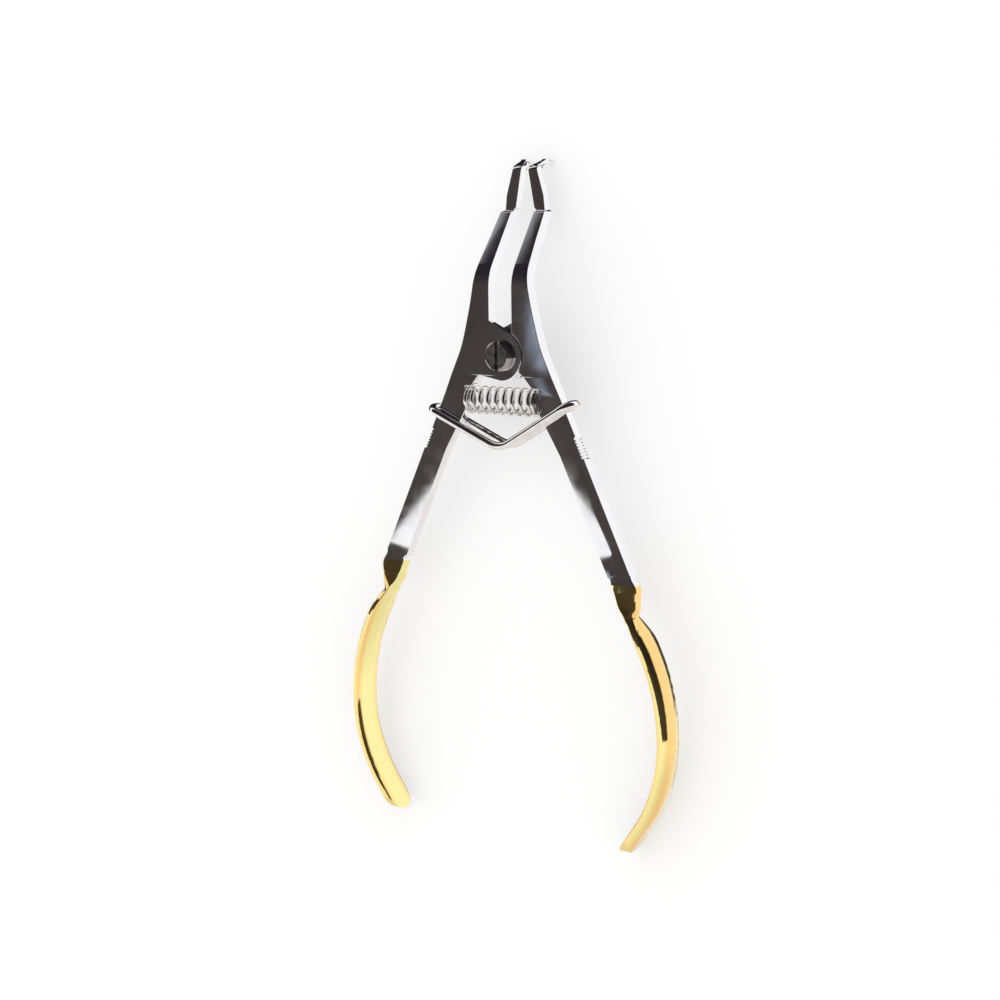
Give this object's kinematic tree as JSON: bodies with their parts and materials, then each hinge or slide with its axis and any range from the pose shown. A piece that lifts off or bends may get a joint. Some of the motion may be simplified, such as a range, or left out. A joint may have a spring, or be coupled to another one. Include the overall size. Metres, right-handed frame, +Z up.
{
  "type": "rubber dam clamp forceps",
  "caption": "Spring-loaded dental forceps whose beaks spread a rubber dam clamp, with curved gilt grips and a sliding wire lock ring.",
  "frame": {"origin": "bottom centre of the whole box: the forceps lies on its back, on its two nibs and the ends of its two grips, as on a table, because it can't stand by itself", "axes": "+Z up to the front, where the screw's head is, +X towards the arm on the right, +Y from the grips to the beaks"},
  "size_m": [0.0966, 0.169, 0.0168],
  "materials": {
    "polished_steel": "mirror polished; the lower part of each arm and its whole grip are gold plated",
    "screw_steel": "polished, turned",
    "spring_wire": "bright drawn wire",
    "ring_wire": "polished round wire"
  },
  "bodies": {
    "left_half": {"left_arm": "polished_steel", "left_spring_stud": "screw_steel"},
    "right_half": {"right_arm": "polished_steel", "right_spring_stud": "screw_steel", "pivot_screw": "screw_steel"},
    "spring_middle": {"return_spring": "spring_wire"},
    "ring": {"lock_ring": "ring_wire"}
  },
  "joints": [
    {"name": "arm_hinge", "type": "hinge", "parent": "left_half", "child": "right_half", "pos_m": [0, 0.03565, 0.013], "axis": [0, 0.0765, -0.9971], "range_deg": [0, 21.8], "stiffness_Nm_per_rad": 0.37, "springref_deg": -8.59, "deforming": ["return_spring"]},
    {"name": "spring_follow", "type": "hinge", "parent": "left_half", "child": "spring_middle", "pos_m": [0, 0.03565, 0.013], "axis": [0, 0.0765, -0.9971], "range_deg": [0, 10.9]},
    {"name": "ring_slide", "type": "slide", "parent": "spring_middle", "child": "ring", "axis": [0, -0.9971, -0.0765], "range_m": [0, 0.0104]}
  ],
  "couplings": [
    {"joint": "spring_follow", "follows": "arm_hinge", "ratio": 0.5},
    {"joint": "ring_slide", "follows": "arm_hinge", "m_per_rad": 0.0272}
  ]
}
